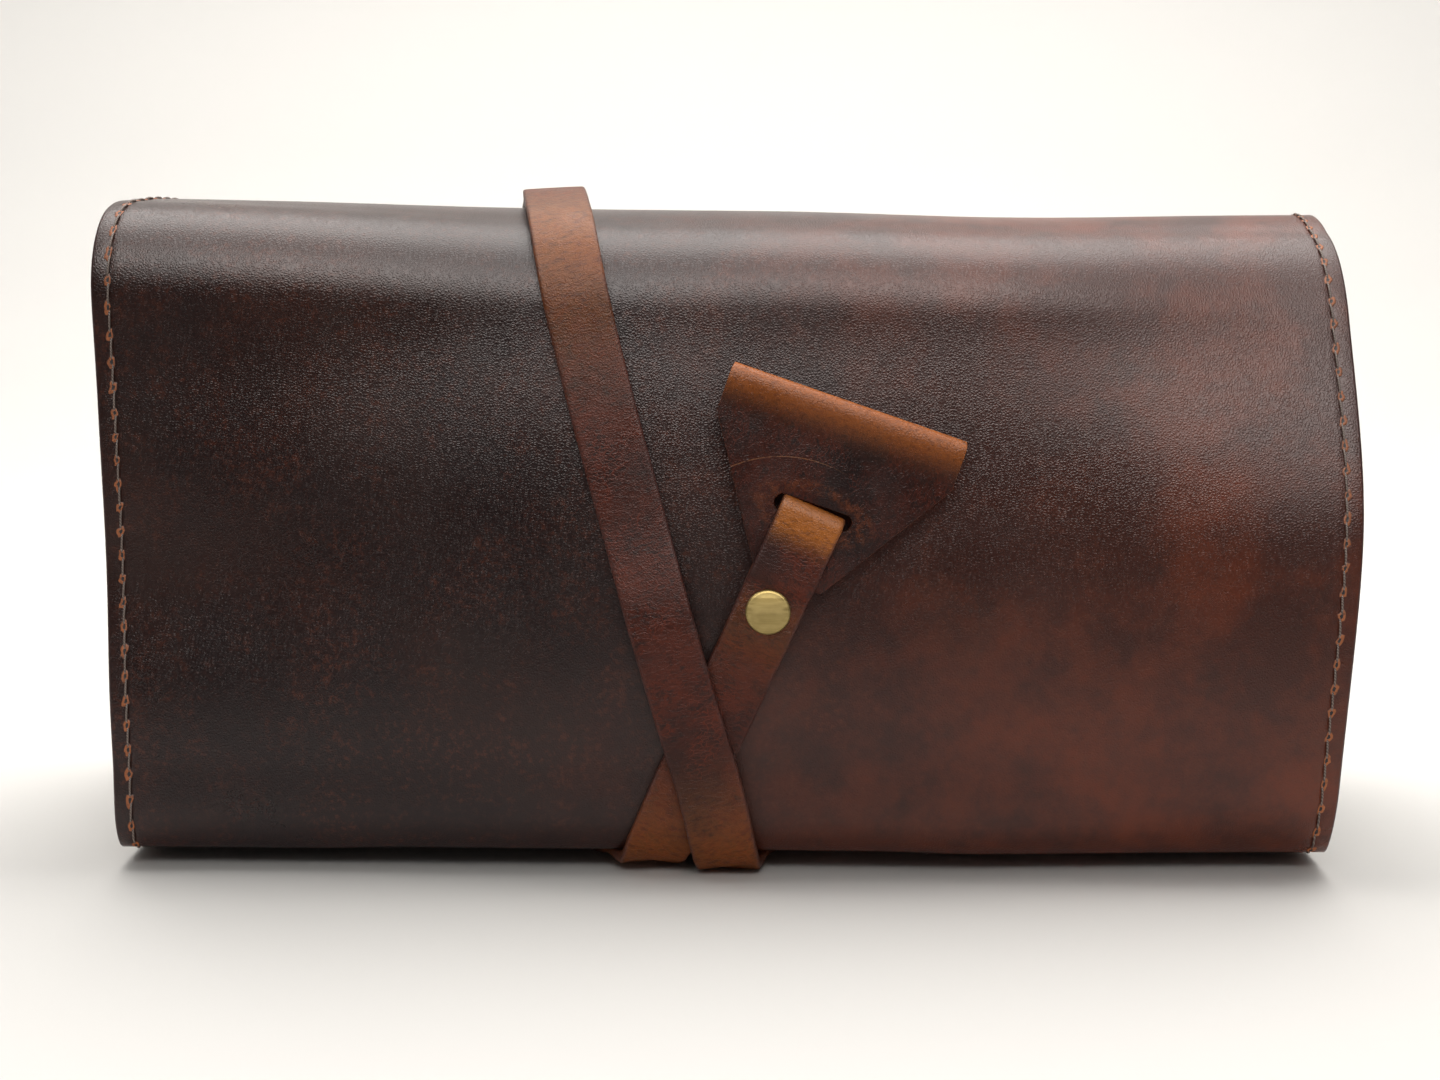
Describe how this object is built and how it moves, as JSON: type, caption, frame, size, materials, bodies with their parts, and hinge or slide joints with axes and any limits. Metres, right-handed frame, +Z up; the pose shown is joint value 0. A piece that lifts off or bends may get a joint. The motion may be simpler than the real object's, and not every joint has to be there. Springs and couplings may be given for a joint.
{
  "type": "brush roll case",
  "caption": "Leather brush roll, rolled up with pockets inside and closed by a wound strap whose riveted loop holds a folded toggle.",
  "frame": {"origin": "centre of the bounding box at its bottom, on the surface the roll rests on", "axes": "+X along the roll, +Y from the toggle side to the back, +Z up"},
  "size_m": [0.28, 0.1102, 0.1524],
  "materials": {
    "cover_leather": "waxed pull-up leather, satin",
    "lining": "thin pigskin lining, matte",
    "pocket_leather": "thin leather, matte",
    "thread": "waxed linen thread",
    "strap_leather": "waxed pull-up leather, satin",
    "toggle_leather": "waxed pull-up leather, satin",
    "antique_brass": "brushed antique"
  },
  "bodies": {
    "case": {"outer_cover": "cover_leather", "inner_lining": "lining", "pocket_panel": "pocket_leather", "brush_flap": "pocket_leather", "left_seam_thread": "thread", "right_seam_thread": "thread", "pocket_divider_threads": "thread", "strap_wrap": "strap_leather", "anchor_rivet_caps": "antique_brass", "anchor_rivet_backs": "antique_brass"},
    "tail": {"strap_tail": "strap_leather", "toggle_rivet_cap": "antique_brass", "toggle_rivet_back": "antique_brass"},
    "loop": {"strap_loop": "strap_leather"},
    "toggle": {"toggle_tab": "toggle_leather"}
  },
  "joints": [
    {"name": "tail_lift", "type": "hinge", "parent": "case", "child": "tail", "pos_m": [0.00448, -0.05127, 0.05117], "axis": [0.9164, -0.0214, -0.3998], "range_deg": [0, 70], "stiffness_Nm_per_rad": 0.02},
    {"name": "toggle_tilt", "type": "hinge", "parent": "tail", "child": "loop", "pos_m": [0.01172, -0.05371, 0.06791], "axis": [0.9164, -0.0214, -0.3998], "range_deg": [0, 45], "stiffness_Nm_per_rad": 0.015},
    {"name": "toggle_swivel", "type": "hinge", "parent": "loop", "child": "toggle", "pos_m": [0.01894, -0.05109, 0.08431], "axis": [0, 0.9986, -0.0536], "range_deg": [0, 10]}
  ]
}
